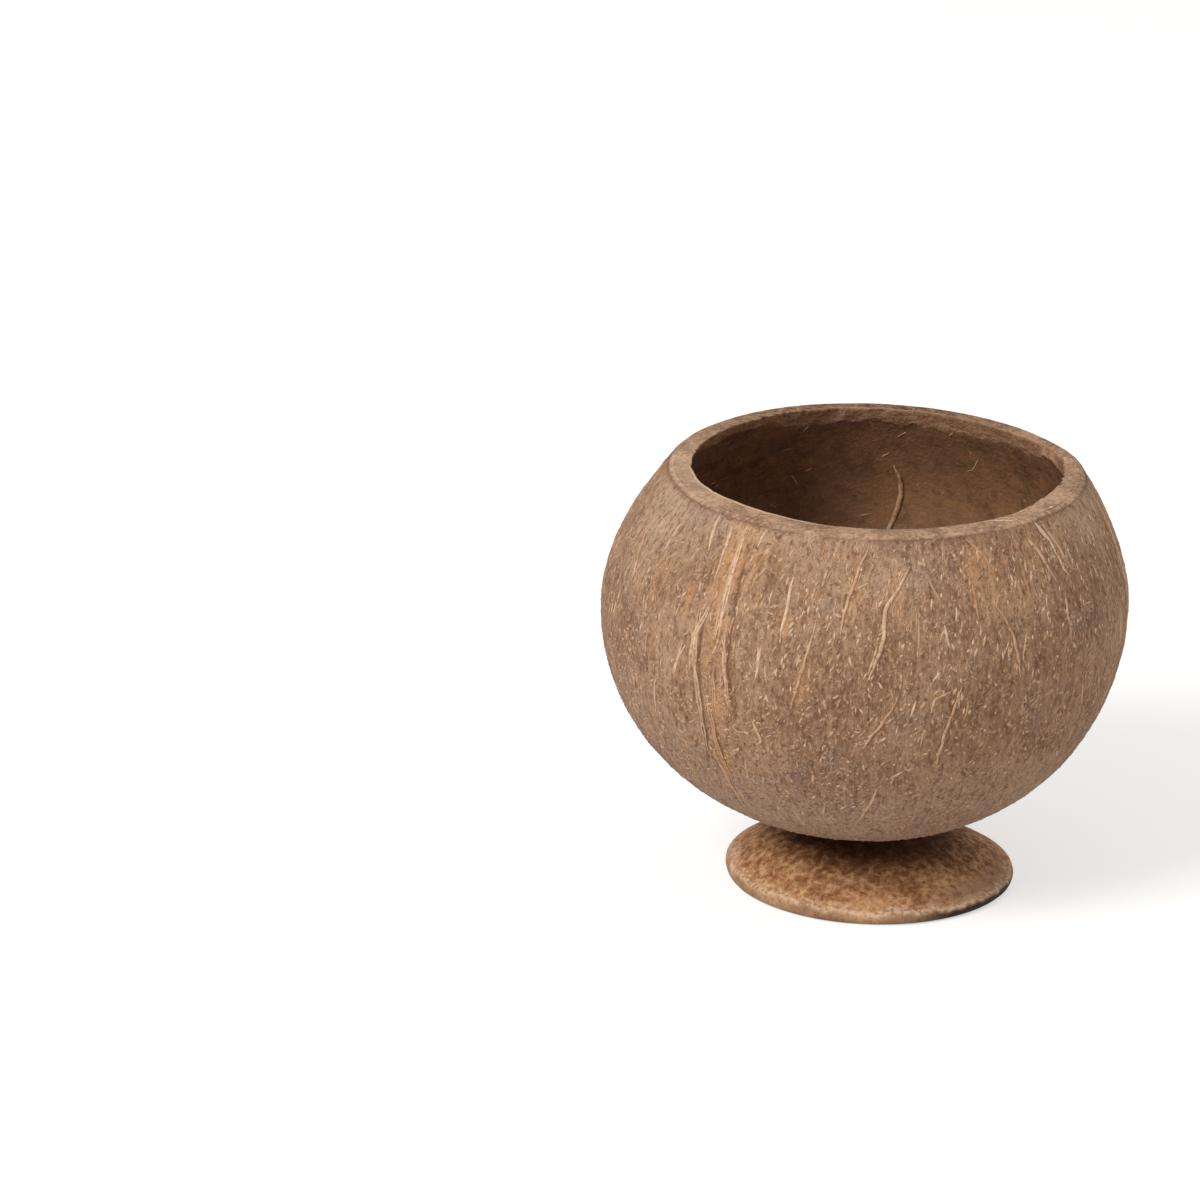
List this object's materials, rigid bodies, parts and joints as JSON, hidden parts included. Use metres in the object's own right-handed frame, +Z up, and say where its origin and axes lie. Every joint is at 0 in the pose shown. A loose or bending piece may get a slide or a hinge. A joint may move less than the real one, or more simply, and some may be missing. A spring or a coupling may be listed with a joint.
{
  "type": "coconut cup",
  "caption": "Footed drinking cup of natural coconut shell: a round bowl sawn off level at the top, glued to a shallow cap-shaped foot.",
  "frame": {"origin": "on the surface the cup stands on, at the middle of the bowl's widest ring", "axes": "+Z up, the mouth opens that way; -Y is the side with the most husk strands; the foot is glued a little off centre, towards +X"},
  "size_m": [0.12, 0.121, 0.0986],
  "materials": {
    "bowl_shell": "raw coconut shell, scraped but not polished: grey brown with short pale fibre flecks outside, dark brown inside, matt",
    "foot_shell": "sanded coconut shell, mottled warm brown, low sheen",
    "glue": "dried glue darkened with shell dust",
    "husk_strand": "dry coir strand, pale tan, matt"
  },
  "bodies": {
    "root": {"bowl_shell": "bowl_shell", "foot_shell": "foot_shell", "glue_joint": "glue", "husk_strand_front": "husk_strand", "husk_strand_front_left": "husk_strand", "husk_strand_mid_left": "husk_strand", "husk_strand_low_front": "husk_strand", "husk_strand_low_right": "husk_strand", "husk_strand_right": "husk_strand", "husk_strand_rim_right": "husk_strand", "husk_strand_far_left": "husk_strand", "husk_strand_inside": "husk_strand"}
  },
  "joints": []
}
